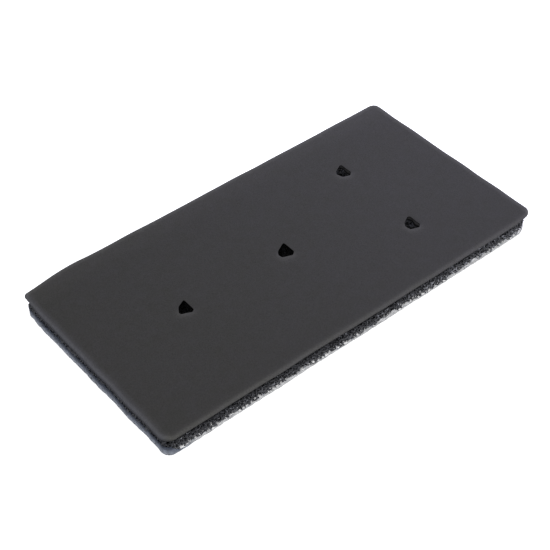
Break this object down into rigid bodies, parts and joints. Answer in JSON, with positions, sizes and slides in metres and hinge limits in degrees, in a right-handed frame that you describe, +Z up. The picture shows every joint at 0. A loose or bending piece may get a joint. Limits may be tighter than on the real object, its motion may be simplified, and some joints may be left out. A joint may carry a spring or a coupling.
{
  "type": "two-layer foam pad",
  "caption": "Thin rectangular soft pad: smooth fine-celled foam facing bonded to a coarse open-celled foam backing, with triangular locating holes punched through.",
  "frame": {"origin": "on the surface the pad lies on, under the centre of the facing sheet", "axes": "+Z up, from the coarse foam towards the smooth facing; +X along the length, towards the pair of holes side by side; +Y across the width"},
  "size_m": [0.24, 0.125, 0.012],
  "materials": {
    "fine_foam": "matt fine-celled charcoal foam",
    "hot_melt": "dull black hot-melt film",
    "coarse_foam": "coarse open-celled blue-black foam"
  },
  "bodies": {
    "root": {"facing_sheet": "fine_foam", "bond_film": "hot_melt", "backing_sheet": "coarse_foam"}
  },
  "joints": []
}
